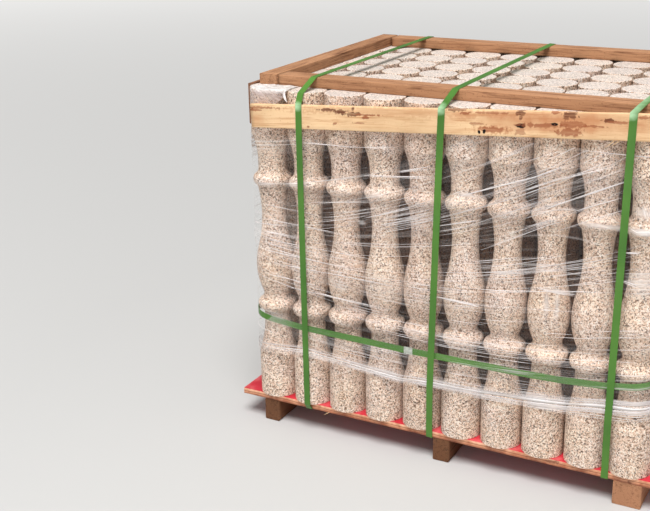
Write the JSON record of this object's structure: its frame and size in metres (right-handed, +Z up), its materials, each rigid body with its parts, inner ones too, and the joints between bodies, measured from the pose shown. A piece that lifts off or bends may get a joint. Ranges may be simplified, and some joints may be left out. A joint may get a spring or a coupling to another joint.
{
  "type": "pallet of stone balusters",
  "caption": "Turned granite balusters packed upright on a timber pallet, edged with boards, strapped with green plastic bands and wrapped in clear stretch film.",
  "frame": {"origin": "on the floor under the middle of the pallet", "axes": "+Z up, +X to the right along the front row of balusters, -Y towards the front"},
  "size_m": [1.093, 0.8358, 0.9024],
  "materials": {
    "granite": "sawn and turned granite, matt, pinkish beige with grey-brown specks",
    "deck": "red film-faced plywood with bare orange edges",
    "bearer_wood": "weathered brown softwood, rough sawn",
    "pale_board": "fresh yellow pine, rough sawn, with knots and resin streaks",
    "dark_board": "brown softwood, rough sawn",
    "batten_wood": "reddish brown softwood, rough sawn",
    "strap": "green polyester strapping, embossed",
    "seal": "zinc-plated strap seal",
    "film": "clear stretch film, wrinkled"
  },
  "bodies": {
    "root": {"plywood_deck": "deck", "left_bearer": "bearer_wood", "centre_bearer": "bearer_wood", "right_bearer": "bearer_wood", "front_board": "pale_board", "rear_board": "pale_board", "left_board": "dark_board", "right_board": "dark_board", "left_runner": "batten_wood", "right_runner": "batten_wood", "front_batten": "batten_wood", "rear_batten": "batten_wood", "left_strap": "strap", "centre_strap": "strap", "right_strap": "strap", "girth_strap": "strap", "strap_seal": "seal", "stretch_film": "film", "front_baluster_1": "granite", "front_baluster_2": "granite", "front_baluster_3": "granite", "front_baluster_4": "granite", "front_baluster_5": "granite", "front_baluster_6": "granite", "front_baluster_7": "granite", "front_baluster_8": "granite", "front_baluster_9": "granite", "front_baluster_10": "granite", "baluster_row_2": "granite", "baluster_row_3": "granite", "baluster_row_4": "granite", "baluster_row_5": "granite", "baluster_row_6": "granite", "baluster_row_7": "granite", "baluster_row_8": "granite"}
  },
  "joints": []
}
